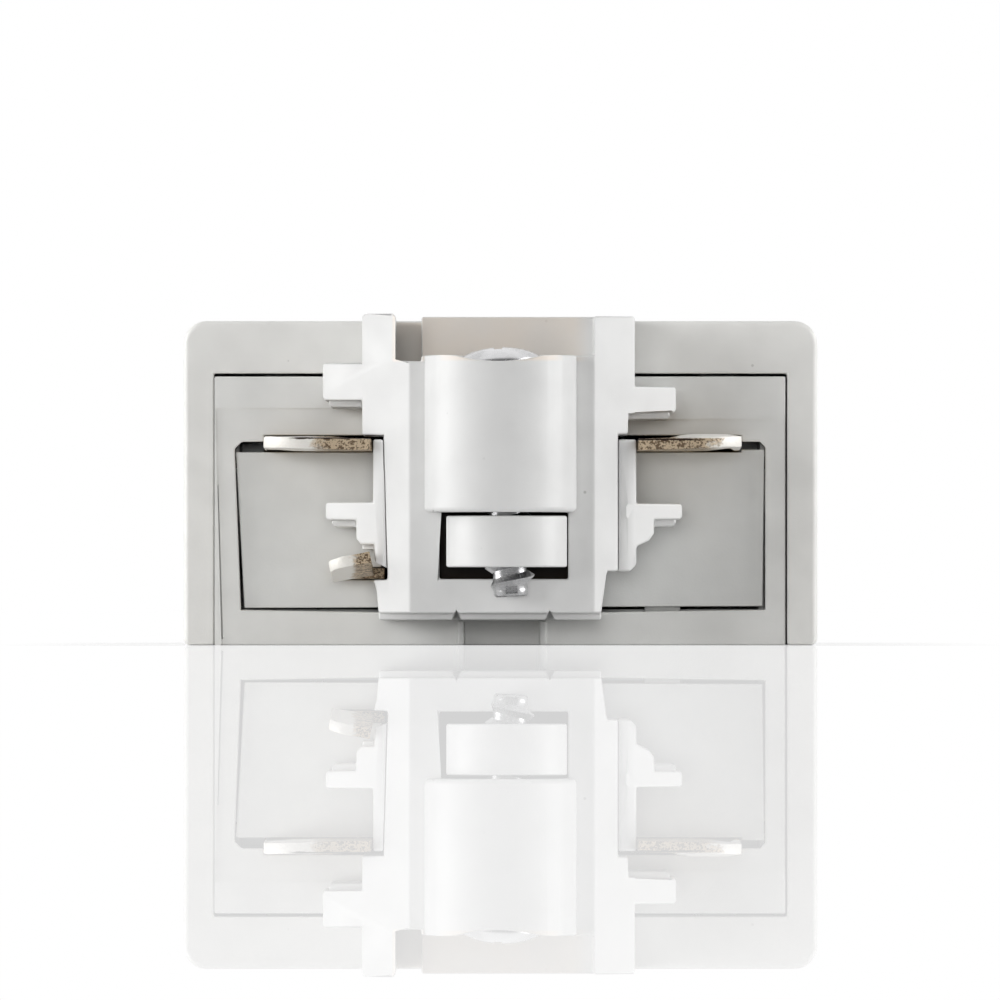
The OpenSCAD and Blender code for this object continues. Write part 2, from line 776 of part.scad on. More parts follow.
base();
cover();
cover_screws();
panel();  // front_panel
mirror([0, 1, 0]) panel();  // rear_panel
tongue();  // front_tongue
mirror([0, 1, 0]) tongue();  // rear_tongue
left_cap();  // front_left_cap
mirror([0, 1, 0]) left_cap();  // rear_left_cap
right_cap();  // front_right_cap
mirror([0, 1, 0]) right_cap();  // rear_right_cap
clamp_block();  // front_clamp_block
mirror([0, 1, 0]) clamp_block();  // rear_clamp_block
lock_screw();  // front_lock_screw
mirror([0, 1, 0]) lock_screw();  // rear_lock_screw
line_bar();
neutral_bar();
ground_bar();
cage(-well_pitch);  // line_cage
cage(well_pitch);  // neutral_cage
cage(0);  // ground_cage
terminal_screw(-well_pitch);  // line_screw
terminal_screw(well_pitch);  // neutral_screw
terminal_screw(0);  // ground_screw
terminal_carrier();
carrier_screws();
tongue_screws();
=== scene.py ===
import math
import bmesh
import bpy
from mathutils import Matrix, Vector, noise
from mathutils.bvhtree import BVHTree


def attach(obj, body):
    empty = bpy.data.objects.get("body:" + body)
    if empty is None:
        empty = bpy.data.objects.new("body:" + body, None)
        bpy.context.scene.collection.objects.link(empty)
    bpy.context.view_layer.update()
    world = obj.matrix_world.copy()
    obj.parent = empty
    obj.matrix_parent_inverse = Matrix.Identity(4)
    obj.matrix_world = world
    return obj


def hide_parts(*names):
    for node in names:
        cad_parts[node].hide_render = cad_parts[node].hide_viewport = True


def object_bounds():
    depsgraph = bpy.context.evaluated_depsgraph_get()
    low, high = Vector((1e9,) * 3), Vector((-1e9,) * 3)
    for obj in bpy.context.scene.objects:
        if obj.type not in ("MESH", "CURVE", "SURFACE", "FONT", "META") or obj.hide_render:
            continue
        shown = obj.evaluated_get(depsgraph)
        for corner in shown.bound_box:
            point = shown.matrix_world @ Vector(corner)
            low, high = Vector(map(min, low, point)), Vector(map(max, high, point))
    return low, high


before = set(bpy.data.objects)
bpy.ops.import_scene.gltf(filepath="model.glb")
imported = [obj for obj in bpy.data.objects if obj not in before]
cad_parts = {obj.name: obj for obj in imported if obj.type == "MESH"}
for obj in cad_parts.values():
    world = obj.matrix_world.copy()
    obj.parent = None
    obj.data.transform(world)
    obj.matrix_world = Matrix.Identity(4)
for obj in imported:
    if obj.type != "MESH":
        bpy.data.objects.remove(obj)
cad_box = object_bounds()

# Base: the grey moulded tray that lies against the ceiling, with an end wall at each end.
# Light grey plastic, injection moulded in one shot, so every edge has a small radius and the
# faces carry a fine grain with slow waves from the way the melt ran.
MM = 0.001
BASE_TINT = (0.825, 0.825, 0.805)
BASE_EDGE = 0.09 * MM
WAVE_SIZE = 9 * MM
CLOUD_SIZE = 2.2 * MM
FLECK_GAP = 1.6 * MM
FLECK_TINT = (0.2, 0.19, 0.17)
# Painted shade: the near black put on the pads deep in the blade slots.
SLOT_SHADE = (0.03, 0.024, 0.02)


class Link:
    """One output of a shader node, with plain arithmetic."""

    def __init__(self, finish, socket):
        self.finish = finish
        self.socket = socket

    def maths(self, operation, *terms):
        return self.finish.node("ShaderNodeMath", {"operation": operation}, dict(enumerate(terms)))

    def __add__(self, other):
        return self.maths("ADD", self, other)

    def __radd__(self, other):
        return self.maths("ADD", other, self)

    def __sub__(self, other):
        return self.maths("SUBTRACT", self, other)

    def __rsub__(self, other):
        return self.maths("SUBTRACT", other, self)

    def __mul__(self, other):
        return self.maths("MULTIPLY", self, other)

    def __rmul__(self, other):
        return self.maths("MULTIPLY", other, self)

    def __abs__(self):
        return self.maths("ABSOLUTE", self)

    def either(self, other):
        """The larger of two masks."""
        return self.maths("MAXIMUM", self, other)


class Finish:
    """A material, and the one way in which its nodes are made."""

    def __init__(self, name, kind=bpy.data.materials):
        self.material = kind.new(name)
        self.material.use_nodes = True
        self.tree = self.material.node_tree
        self.tree.nodes.clear()

    def node(self, kind, settings=None, inputs=None, out=0):
        new = self.tree.nodes.new(kind)
        for setting, value in (settings or {}).items():
            setattr(new, setting, value)
        for socket, value in (inputs or {}).items():
            if isinstance(value, Link):
                self.tree.links.new(value.socket, new.inputs[socket])
            else:
                new.inputs[socket].default_value = value
        return Link(self, new.outputs[out])

    def part(self, vector, axis):
        """One axis of a vector."""
        return self.node("ShaderNodeSeparateXYZ", None, {0: vector}, axis)

    def place(self, axis=None):
        """Object coordinates, whole or one axis of them."""
        whole = self.node("ShaderNodeTexCoord", out="Object")
        return whole if axis is None else self.part(whole, axis)

    def mottle(self, size, detail=2.0, stretch=(1, 1, 1)):
        """Noise from 0 to 1 whose patches measure about size."""
        spot = self.node("ShaderNodeMapping", None, {"Vector": self.place(), "Scale": stretch})
        return self.node("ShaderNodeTexNoise", None, {"Vector": spot, "Scale": 1 / size, "Detail": detail})

    def ramp(self, value, low, high):
        """0 below low and 1 above high, with a smooth change between them."""
        inputs = {"Value": value, "From Min": low, "From Max": high}
        return self.node("ShaderNodeMapRange", {"interpolation_type": "SMOOTHSTEP"}, inputs)

    def band(self, value, rise, fall):
        """1 between two values and 0 outside, changing over the pairs rise and fall."""
        return self.ramp(value, *rise) * (1 - self.ramp(value, *fall))

    def blend(self, mask, first, second):
        """The first colour where mask is 0, and the second where it is 1."""
        pair = [c if isinstance(c, Link) else (*c, 1) for c in (first, second)]
        return self.node("ShaderNodeMix", {"data_type": "RGBA"}, {0: mask, 6: pair[0], 7: pair[1]}, 2)

    def bump(self, height, depth, strength=1.0):
        return self.node("ShaderNodeBump", None, {"Height": height, "Distance": depth, "Strength": strength})

    def surface(self, **sockets):
        """The closing shader of a solid piece; a name with _ stands for one with spaces."""
        inputs = {name.replace("_", " "): value for name, value in sockets.items()}
        return self.close(self.node("ShaderNodeBsdfPrincipled", None, inputs))

    def close(self, shader, kind="ShaderNodeOutputMaterial"):
        output = self.tree.nodes.new(kind)
        self.tree.links.new(shader.socket, output.inputs["Surface"])
        return self.material


def moulded_plastic(name, tint, roughness, grain_size=0.12 * MM, grain_depth=0.004 * MM, stains=()):
    """Moulded plastic: slow waves in the colour, a fine grain, and a few dark flecks in the melt.
    Each of the stains gives the mask and the colour of a stained place."""
    finish = Finish(name)
    waves = finish.mottle(WAVE_SIZE, 3)
    cloud = finish.mottle(CLOUD_SIZE, 2)
    grain = finish.mottle(grain_size, 1)
    cells = finish.node("ShaderNodeTexVoronoi", None, {"Vector": finish.place(), "Scale": 1 / FLECK_GAP})
    flecks = (1 - finish.ramp(cells, 0.03, 0.07)) * finish.ramp(finish.mottle(4 * MM, 1), 0.56, 0.66)
    dark = tuple(0.93 * c for c in tint)
    light = tuple(1.04 * c for c in tint)
    colour = finish.blend(finish.ramp(waves * 0.65 + cloud * 0.35, 0.3, 0.7), dark, light)
    colour = finish.blend(flecks * 0.45, colour, FLECK_TINT)
    for stain in stains:
        mask, stained = stain(finish)
        colour = finish.blend(mask, colour, stained)
    return finish.surface(
        Base_Color=colour,
        Roughness=roughness + 0.1 * (waves - 0.5) + 0.06 * (grain - 0.5),
        Normal=finish.bump(grain, grain_depth),
        IOR=1.5,
    )


def painted_slot_shade(finish):
    """Painted shade, near black, on the pads deep in the slots at the ends of the contact blades."""
    deep = finish.band(abs(finish.place("Y")), (34.5 * MM, 35 * MM), (37 * MM, 37.6 * MM))
    return deep * finish.ramp(finish.place("Z"), 9.8 * MM, 10 * MM), SLOT_SHADE


WELD = 0.003 * MM
LEVEL_SLACK = 0.005 * MM
LEVEL_AREA = 0.5 * MM * MM
FLAT_ANGLE = math.radians(0.6)
PANEL_ANGLE = math.radians(1)
CORNER_ANGLE = math.radians(38)
CREASE_ANGLE = math.radians(50)
PANEL_ROOM = 2.3
SIDE_ROOM = 1.2
ACROSS = 0.7
BEHIND = 0.01 * MM


def panel_edges(face):
    """The edges around the flat panel that a face belongs to."""
    panel, around = [face], []
    for member in panel:
        for edge in member.edges:
            if edge.calc_face_angle(0) > PANEL_ANGLE:
                around.append(edge)
            else:
                panel += [f for f in edge.link_faces if f not in panel]
    return around


def has_room(edge, width, known):
    """Whether the panels on both sides of an edge are wide enough to round it by width."""
    ends = [v.co for v in edge.verts]
    along = (ends[1] - ends[0]).normalized()
    for face in edge.link_faces:
        if face not in known:
            known[face] = panel_edges(face)
        inward = face.normal.cross(along)
        if inward.dot(face.calc_center_median() - ends[0]) < 0:
            inward.negate()
        for other in known[face]:
            touching = set(other.verts) & set(edge.verts)
            spots = [v.co - ends[0] for v in other.verts]
            depths = [inward.dot(spot) for spot in spots]
            if len(touching) == 1:
                turn = abs(along.dot((spots[1] - spots[0]).normalized()))
                if turn < ACROSS and other.calc_length() < SIDE_ROOM * width:
                    return False
            elif not touching and max(depths) > 0 and min(depths) < PANEL_ROOM * width:
                reach = sorted(along.dot(spot) for spot in spots)
                crosses = reach[1] > 0 and reach[0] < edge.calc_length()
                if crosses and min(depths) > -BEHIND:
                    return False
    return True


def flattened(mesh):
    """Makes each flat panel one face."""
    bmesh.ops.dissolve_limit(mesh, angle_limit=FLAT_ANGLE, verts=mesh.verts, edges=mesh.edges)


def rounded(mesh, width, segments=2, wanted=None):
    """Rounds those sharp edges that have the room for it, and the short ones between them, and only
    the wanted ones if these are given. A point that this throws off the form goes back onto it."""
    known = {}
    sharp = [e for e in mesh.edges if e.calc_face_angle(0) > CORNER_ANGLE and (not wanted or wanted(e))]
    corners = {e for e in sharp if has_room(e, width, known)}
    between = {e for e in sharp if e.calc_length() < width / 2}
    between = {e for e in between if all(corners & set(v.link_edges) for v in e.verts)}
    chosen = corners | between
    form = BVHTree.FromBMesh(mesh)
    bmesh.ops.bevel(mesh, geom=[e for e in sharp if e in chosen], offset=width,
                    offset_type="OFFSET", segments=segments, profile=0.5, affect="EDGES",
                    clamp_overlap=False, material=-1)
    for vert in mesh.verts:
        nearest, _, _, distance = form.find_nearest(vert.co)
        if distance > width / 2:
            vert.co = nearest
    flattened(mesh)


def clean_form(node, weld=WELD):
    """A node's form as one closed skin of flat panels; points a hair off a large panel go back on it."""
    mesh = bmesh.new()
    mesh.from_mesh(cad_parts[node].data)
    bmesh.ops.remove_doubles(mesh, verts=mesh.verts, dist=weld)
    for axis in range(3):
        square = [f for f in mesh.faces if abs(f.normal[axis]) > 0.99999 and f.calc_area() > LEVEL_AREA]
        levels = {f.verts[0].co[axis] for f in square}
        for vert in mesh.verts:
            near = [level for level in levels if abs(vert.co[axis] - level) < LEVEL_SLACK]
            if near:
                vert.co[axis] = near[0]
    flattened(mesh)
    return mesh


def skin(node, width, weld=WELD):
    """A node's form with its sharp edges rounded by width, as they are in its mould."""
    mesh = clean_form(node, weld)
    rounded(mesh, width)
    return mesh


def finished(mesh, name, material, body, slot, *nodes):
    """Makes the mesh an object with even shading, on its body, in place of the nodes named."""
    for face in mesh.faces:
        face.smooth = True
    for edge in mesh.edges:
        edge.smooth = edge.calc_face_angle(0) < CREASE_ANGLE
    data = bpy.data.meshes.new(name)
    mesh.to_mesh(data)
    mesh.free()
    data.materials.append(material)
    piece = bpy.data.objects.new(name, data)
    bpy.context.scene.collection.objects.link(piece)
    shading = piece.modifiers.new("even shading", "WEIGHTED_NORMAL")
    shading.keep_sharp = True
    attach(piece, body)
    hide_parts(*nodes)
    return piece


# The tray's plastic carries painted shade on the pads deep in the blade slots.
grey_plastic = moulded_plastic("grey moulded plastic", BASE_TINT, 0.46, stains=(painted_slot_shade,))
finished(skin("base", BASE_EDGE), "tray", grey_plastic, "housing", "grey_plastic", "base")

# End panels: one flat plate in the window of each end wall, behind the tongue's shoulders.
# A darker grey plastic, moulded flat and trapped between the tongue and the wall's rebate.
PANEL_TINT = (0.77, 0.775, 0.76)
PANEL_EDGE = 0.07 * MM
panel_plastic = moulded_plastic("dark grey moulded plastic", PANEL_TINT, 0.42)
for end in ("front", "rear"):
    finished(skin(f"{end}_panel", PANEL_EDGE), f"{end}_end_plate", panel_plastic, "housing", "panel_plastic",
             f"{end}_panel")

# Tongues: the white moulded body at each end that enters the track, with its rib, tabs and screw boss.
# Glossy white plastic. The walls sunk behind the boss carry a painted warm shade, and the back wall of
# the hollow where the clamp block rides is painted near black as shade.
WHITE_TINT = (0.745, 0.745, 0.738)
TONGUE_EDGE = 0.11 * MM
# Painted warm shade: the tint given to the walls sunk behind the boss and to what the notch leaves open.
WARM_SHADE = (0.82, 0.75, 0.675)
# Painted shade: the near black put on the back wall of the clamp block's hollow.
HOLLOW_SHADE = (0.035, 0.026, 0.02)
HOLLOW_X = 0.2 * MM


def painted_warm_shade(finish):
    """Painted warm shade, the tint of light bounced between the walls, on the upright walls sunk behind the
    boss and on what the notch beside it leaves open.
    """
    across = finish.band(finish.place("X"), (-6.1 * MM, -5.9 * MM), (3.9 * MM, 5.1 * MM))
    facing = abs(finish.part(finish.node("ShaderNodeTexCoord", out="Normal"), "Y"))
    upright = finish.ramp(finish.place("Z"), 15.7 * MM, 15.9 * MM) * finish.ramp(facing, 0.5, 0.8)
    patch = finish.ramp(finish.mottle(3 * MM, 2), 0.25, 0.75)
    return across * upright * (0.6 + 0.4 * patch), WARM_SHADE


def painted_hollow_shade(finish):
    """Painted shade, near black, on the back wall of the hollow in which the clamp block rides."""
    deep = finish.band(abs(finish.place("Y")), (46 * MM, 47 * MM), (48.5 * MM, 53 * MM))
    across = 1 - finish.ramp(abs(finish.place("X") - HOLLOW_X), 3.62 * MM, 3.7 * MM)
    height = finish.band(finish.place("Z"), (3.6 * MM, 3.7 * MM), (7.4 * MM, 7.5 * MM))
    return deep * across * height, HOLLOW_SHADE


# The white plastic carries the painted warm shade of the sunk walls and the painted shade of the hollow.
white_plastic = moulded_plastic("white moulded plastic", WHITE_TINT, 0.36, grain_depth=0.002 * MM,
                                stains=(painted_warm_shade, painted_hollow_shade))
for end in ("front", "rear"):
    finished(skin(f"{end}_tongue", TONGUE_EDGE), f"{end}_tongue_body", white_plastic, "housing",
             "white_plastic", f"{end}_tongue")

# Side caps: a moulded strip with a keying tab on each side of each tongue, under the upper blades.
# The same white plastic as the tongue, pressed on from the side. Points on their tightest arcs lie so
# close that they are merged before the edges are rounded.
CAP_EDGE = 0.12 * MM
CAP_WELD = 0.018 * MM
for end in ("front", "rear"):
    for side in ("left", "right"):
        finished(skin(f"{end}_{side}_cap", CAP_EDGE, CAP_WELD), f"{end}_{side}_strip", white_plastic,
                 "housing", "white_plastic", f"{end}_{side}_cap")

# Clamp blocks: a round-fronted block in each tongue's window that climbs on the lock screw.
# White plastic, moulded with the hole that the screw's thread bites into.
for end in ("front", "rear"):
    finished(skin(f"{end}_clamp_block", TONGUE_EDGE), f"{end}_clamp", white_plastic, f"{end}_clamp_block",
             "white_plastic", f"{end}_clamp_block")

# Lock screws: the coarse self-tapping screw down each boss, backed off and leaning in its hole.
# Zinc-plated steel, its thread rolled, with a cross recess in a low domed head and a cutting
# flute at its blunt tip. A screw's own sizes are in millimetres, with pairs of radius and height.
SCREW_STEEL = (0.70, 0.70, 0.71)
TURN_STEPS = 40
SEAM_WELD = 0.0005 * MM
LOCK_POINT = (0.2 * MM, 55.5 * MM, 10 * MM)
LOCK_LEAN = math.radians(3)
LOCK_TURN = math.radians(331)
LOCK_THREAD = (0.95, 1.375, 1.1)
LOCK_TIP = [(0.95, -6.95), (0.95, -7.2), (0.85, -7.3)]
LOCK_HEAD = [(0.95, 5.2), (2.1, 5.2), (2.3, 5.24), (2.38, 5.36), (2.38, 5.82), (2.3, 5.98), (2.0, 6.16),
             (1.5, 6.36), (0.9, 6.5), (0.35, 6.56)]
LOCK_CROSS = (2.9 * MM, 0.62 * MM, 0.85 * MM)
LOCK_CROSS_TOP = 6.5 * MM
FLUTE_SIZE = (0.66 * MM, 1.5 * MM, 0.42 * MM)
FLUTE_PLACE = (0.05 * MM, 0.95 * MM, -6.92 * MM)


def plated_steel(name, tint, roughness, streaks=0.35 * MM):
    """Bright zinc plating with faint patches and fine marks from tumbling."""
    finish = Finish(name)
    patches = finish.mottle(1.4 * MM, 3)
    marks = finish.mottle(streaks, 2, (1, 1, 3))
    dull = tuple(0.72 * c for c in tint)
    return finish.surface(
        Base_Color=finish.blend(finish.ramp(patches, 0.35, 0.75), tint, dull),
        Metallic=1.0,
        Roughness=roughness + 0.16 * (marks - 0.4) + 0.1 * (patches - 0.5),
        Normal=finish.bump(marks, 0.003 * MM),
    )


def rolled_thread(core, crest, lead, low, high, phase):
    """A threaded shank from low to high, open at both ends, whose thread fades into the core there."""
    turns = math.ceil((high - low) / lead) + 2
    flank = [(core, 0), (core, 0.3), (crest, 0.58), (crest, 0.66), (core, 0.92), (core, 1)]
    mesh = bmesh.new()
    chain = [mesh.verts.new((r, 0, low + (share - 1) * lead)) for r, share in flank]
    ribs = [mesh.edges.new(pair) for pair in zip(chain, chain[1:])]
    bmesh.ops.spin(mesh, geom=chain + ribs, cent=(0, 0, 0), axis=(0, 0, 1), angle=2 * math.pi * turns,
                   dvec=(0, 0, lead / TURN_STEPS), steps=turns * TURN_STEPS, use_merge=False)
    fade = 0.7 * lead
    for vert in mesh.verts:
        z = min(max(vert.co.z, low), high)
        radius = math.hypot(vert.co.x, vert.co.y)
        proud = (radius - core) * min(1, (z - low) / fade) * min(1, (high - z) / (0.4 * fade))
        scale = (core + max(proud, 0)) / radius
        vert.co = (vert.co.x * scale, vert.co.y * scale, z)
    bmesh.ops.remove_doubles(mesh, verts=mesh.verts, dist=SEAM_WELD)
    loose = [e for e in mesh.edges if not e.link_faces]
    bmesh.ops.delete(mesh, geom=loose, context="EDGES")
    bmesh.ops.rotate(mesh, verts=mesh.verts, cent=(0, 0, 0), matrix=Matrix.Rotation(phase, 3, "Z"))
    return mesh


def draw_out(mesh, edges, radius, z):
    """Draws a ring of open edges out to a new radius and height, and returns the new ring."""
    new = bmesh.ops.extrude_edge_only(mesh, edges=edges)["geom"]
    for vert in (g for g in new if isinstance(g, bmesh.types.BMVert)):
        scale = radius / max(math.hypot(vert.co.x, vert.co.y), 1e-9)
        vert.co = (vert.co.x * scale, vert.co.y * scale, z)
    return [g for g in new if isinstance(g, bmesh.types.BMEdge) and g.is_boundary]


def turned(mesh, rings):
    """Carries the open rim at the first ring's height through the other rings, and closes the last."""
    start = rings[0][1] * MM
    open_edges = [e for e in mesh.edges if e.is_boundary]
    edges = [e for e in open_edges if all(abs(v.co.z - start) < 0.002 * MM for v in e.verts)]
    for radius, height in rings[1:]:
        edges = draw_out(mesh, edges, radius * MM, height * MM)
    bmesh.ops.holes_fill(mesh, edges=edges, sides=0)


def screw_form(thread, tip, head, place, phase=0.0):
    """A screw along Z at its place: thread gives core radius, crest radius and lead, and the thread
    runs between the first rings of tip and head."""
    core, crest, lead = (size * MM for size in thread)
    mesh = rolled_thread(core, crest, lead, tip[0][1] * MM, head[0][1] * MM, phase)
    turned(mesh, tip)
    turned(mesh, head)
    bmesh.ops.recalc_face_normals(mesh, faces=mesh.faces)
    bmesh.ops.transform(mesh, matrix=place, verts=mesh.verts)
    return mesh


def block(size, centre, place):
    """A box of a size, centred on a point of the screw's own."""
    mesh = bmesh.new()
    bmesh.ops.create_cube(mesh, size=1)
    bmesh.ops.scale(mesh, vec=size, verts=mesh.verts)
    bmesh.ops.translate(mesh, vec=centre, verts=mesh.verts)
    bmesh.ops.transform(mesh, matrix=place, verts=mesh.verts)
    return mesh


def cross(span, arm, depth, place, top):
    """The form of a cross recess that narrows to its floor, for cutting at a place of the screw's own."""
    mesh = bmesh.new()
    bmesh.ops.create_cube(mesh, size=1)
    bmesh.ops.scale(mesh, vec=(arm, arm, 2 * depth), verts=mesh.verts)
    sides = [f for f in mesh.faces if abs(f.normal.z) < 0.5]
    for side in bmesh.ops.extrude_discrete_faces(mesh, faces=sides)["faces"]:
        bmesh.ops.translate(mesh, vec=side.normal * (span - arm) / 2, verts=side.verts)
    floor_points = [v for v in mesh.verts if v.co.z < 0]
    bmesh.ops.scale(mesh, vec=(0.5, 0.5, 1), verts=floor_points)
    bmesh.ops.translate(mesh, verts=mesh.verts, vec=(0, 0, top))
    bmesh.ops.transform(mesh, matrix=place, verts=mesh.verts)
    return mesh


def carved(piece, *cutters):
    """Cuts each cutter's form out of the piece, and removes the cutter."""
    for cutter in cutters:
        data = bpy.data.meshes.new("cutter")
        cutter.to_mesh(data)
        cutter.free()
        tool = bpy.data.objects.new("cutter", data)
        bpy.context.scene.collection.objects.link(tool)
        cut = piece.modifiers.new("cut", "BOOLEAN")
        cut.object = tool
        cut.solver = "EXACT"
        with bpy.context.temp_override(object=piece, active_object=piece):
            bpy.ops.object.modifier_move_to_index(modifier=cut.name, index=0)
            bpy.ops.object.modifier_apply(modifier=cut.name)
        bpy.data.objects.remove(tool)


screw_steel = plated_steel("plated screw steel", SCREW_STEEL, 0.24)
for end, side in (("front", -1), ("rear", 1)):
    point = Vector((LOCK_POINT[0], side * LOCK_POINT[1], LOCK_POINT[2]))
    place = Matrix.Translation(point) @ Matrix.Rotation(-LOCK_LEAN, 4, "Y")
    screw = screw_form(LOCK_THREAD, LOCK_TIP, LOCK_HEAD, place, LOCK_TURN)
    piece = finished(screw, f"{end}_boss_screw", screw_steel, f"{end}_lock_screw", "screw_steel",
                     f"{end}_lock_screw")
    flute_at = (FLUTE_PLACE[0], side * FLUTE_PLACE[1], FLUTE_PLACE[2])
    carved(piece, cross(*LOCK_CROSS, place, LOCK_CROSS_TOP), block(FLUTE_SIZE, flute_at, place))

# Line, neutral and ground bars: strips of brass that run through the housing and leave it as the
# tongues' contact blades. Punched from sheet, so the cut edges are torn and burred; their tips are
# plated and rubbed bright, and towards the tongue they have tarnished brown.
BRASS = (0.56, 0.43, 0.24)
TARNISH = (0.10, 0.055, 0.028)
BARE_METAL = (0.66, 0.53, 0.37)
# The colour of the dark line that runs along a blade at the seam height.
SEAM_DARK = (0.03, 0.016, 0.01)
TIP_PLATE = (0.93, 0.905, 0.85)
BAR_EDGE = 0.05 * MM
BURR = 0.03 * MM
BURR_STEP = 0.35 * MM
TEAR_SIZE = 0.45 * MM
FINE_TEAR_SIZE = 0.2 * MM
BEND_START = 0.62
BEND_RUN = 0.36
OUTSIDE = 38.5 * MM


def contact_brass(name, root, tip, seam, reach):
    """Brass that is tarnished at root and plated at tip, both measured from the middle, outside the
    housing. Up to reach a dark line runs along it at height seam."""
    finish = Finish(name)
    x = abs(finish.place("X"))
    z = finish.place("Z")
    coarse = finish.mottle(0.9 * MM, 3, (1, 1, 2.5))
    grains = finish.mottle(0.12 * MM, 2)
    pits = finish.mottle(0.22 * MM, 2, (0.7, 1, 1.4))
    out = finish.ramp(abs(finish.place("Y")), OUTSIDE, OUTSIDE + 2 * MM)
    along = (x - root) * (1 / (tip - root)) + 0.4 * (coarse - 0.5) + 0.3 * (pits - 0.5)
    above = finish.ramp(z, seam, seam + 0.05 * MM) * finish.ramp(x, 0.86 * reach, 0.9 * reach)
    plate = finish.ramp(along, 0.46, 0.64).either(above) * out
    torn = finish.ramp(grains * 0.55 + pits * 0.45, 0.47, 0.56) * out * (1 - 0.97 * plate)
    middle = z - seam + 0.1 * MM * (pits - 0.5)
    dark_line = finish.band(middle, (-0.11 * MM, -0.08 * MM), (-0.01 * MM, 0.02 * MM))
    dark_line = dark_line * (1 - finish.ramp(x + 1.2 * MM * (coarse - 0.5), 0.93 * reach, reach)) * out
    brass = finish.blend(finish.ramp(coarse, 0.3, 0.8) * 0.5, BRASS, TARNISH)
    colour = finish.blend(out, brass, BARE_METAL)
    colour = finish.blend(plate, colour, TIP_PLATE)
    colour = finish.blend(torn * 0.85, colour, TARNISH)
    colour = finish.blend(dark_line, colour, SEAM_DARK)
    return finish.surface(
        Base_Color=colour,
        Metallic=1 - 0.55 * out - 0.3 * plate,
        Roughness=0.36 + 0.16 * out + 0.12 * (grains - 0.5),
        Normal=finish.bump(grains * 0.6 + pits * 0.4, 0.05 * MM, 0.7),
    )


def punched(node, beyond, lift):
    """A bar's form with torn, burred edges where it stands out past beyond on either end, and with
    its blades bent up by lift at their outer edge."""
    mesh = clean_form(node)
    rounded(mesh, BAR_EDGE)
    ceiling = max(v.co.z for v in mesh.verts)
    outer = max(abs(v.co.x) for v in mesh.verts)
    long_edges = [e for e in mesh.edges if e.calc_length() > 0.5 * MM
                  and min(abs(v.co.y) for v in e.verts) > beyond]
    for edge in long_edges:
        cuts = min(60, int(edge.calc_length() / BURR_STEP))
        bmesh.ops.subdivide_edges(mesh, edges=[edge], cuts=cuts)
    for vert in mesh.verts:
        if abs(vert.co.y) > beyond and any(e.calc_face_angle(0) > math.radians(10) for e in vert.link_edges):
            torn = noise.noise(vert.co * (1 / TEAR_SIZE)) + 0.5 * noise.noise(vert.co * (1 / FINE_TEAR_SIZE))
            vert.co.z += BURR * torn
        if lift and abs(vert.co.y) > beyond:
            share = min(max((abs(vert.co.x) / outer - BEND_START) / BEND_RUN, 0), 1)
            vert.co.z = min(vert.co.z + lift * share, ceiling)
    return mesh


# Each bar's wire, where its blades are tarnished and plated, their lift, and the dark line's height and
# reach.
blades = (
    ("line", 7.2, 12.6, 0.12, 11.58, 12.1),
    ("neutral", 8.6, 14.5, 0.16, 11.5, 11.1),
    ("ground", 6.9, 9.2, 0, 0, 0),
)
for wire, root, tip, lift, seam, reach in blades:
    brass = contact_brass(f"{wire} brass", root * MM, tip * MM, seam * MM, reach * MM)
    finished(punched(f"{wire}_bar", 38.6 * MM, lift * MM), f"{wire}_strip", brass, "housing",
             "contact_brass", f"{wire}_bar")

# Terminals: a folded steel cage on each wire, raised by a cheese-head screw until it grips the wire
# against the bar. Plated steel, the cages folded from strip and the screws turned.
CAGE_EDGE = 0.12 * MM
CAGE_STEEL = (0.56, 0.56, 0.565)
TERMINAL_X = {"line": -7.15 * MM, "neutral": 7.15 * MM, "ground": 0.0}
TERMINAL_Y = 6.65 * MM
TERMINAL_Z = 13.2 * MM
TERMINAL_THREAD = (1.25, 1.49, 0.5)
TERMINAL_TIP = [(1.25, -4.6), (1.2, -4.74), (1.0, -4.79)]
TERMINAL_HEAD = [(1.25, -0.05), (1.25, 0.02), (2.2, 0.02), (2.33, 0.1), (2.35, 0.2), (2.35, 1.4),
                 (2.28, 1.54), (2.15, 1.6)]
SLOT_SIZE = (6 * MM, 0.75 * MM, 1.6 * MM)
SLOT_PLACE = (0, 0, 1.6 * MM)
cage_steel = plated_steel("cage steel", CAGE_STEEL, 0.38, 0.22 * MM)
for wire, x in TERMINAL_X.items():
    finished(skin(f"{wire}_cage", CAGE_EDGE), f"{wire}_clamp_cage", cage_steel, f"{wire}_cage", "cage_steel",
             f"{wire}_cage")
    place = Matrix.Translation((x, TERMINAL_Y, TERMINAL_Z))
    screw = screw_form(TERMINAL_THREAD, TERMINAL_TIP, TERMINAL_HEAD, place)
    piece = finished(screw, f"{wire}_terminal_screw", screw_steel, f"{wire}_screw", "screw_steel",
                     f"{wire}_screw")
    carved(piece, block(SLOT_SIZE, SLOT_PLACE, place))

# Terminal carrier: the moulded block whose wells hold the cages and whose plate holds their screws.
# Cream plastic that stands heat, fixed to the tray by its foot.
CARRIER_TINT = (0.66, 0.645, 0.585)
CARRIER_EDGE = 0.1 * MM
carrier_plastic = moulded_plastic("cream moulded plastic", CARRIER_TINT, 0.45)
finished(skin("terminal_carrier", CARRIER_EDGE), "wire_block", carrier_plastic, "housing",
         "carrier_plastic", "terminal_carrier")

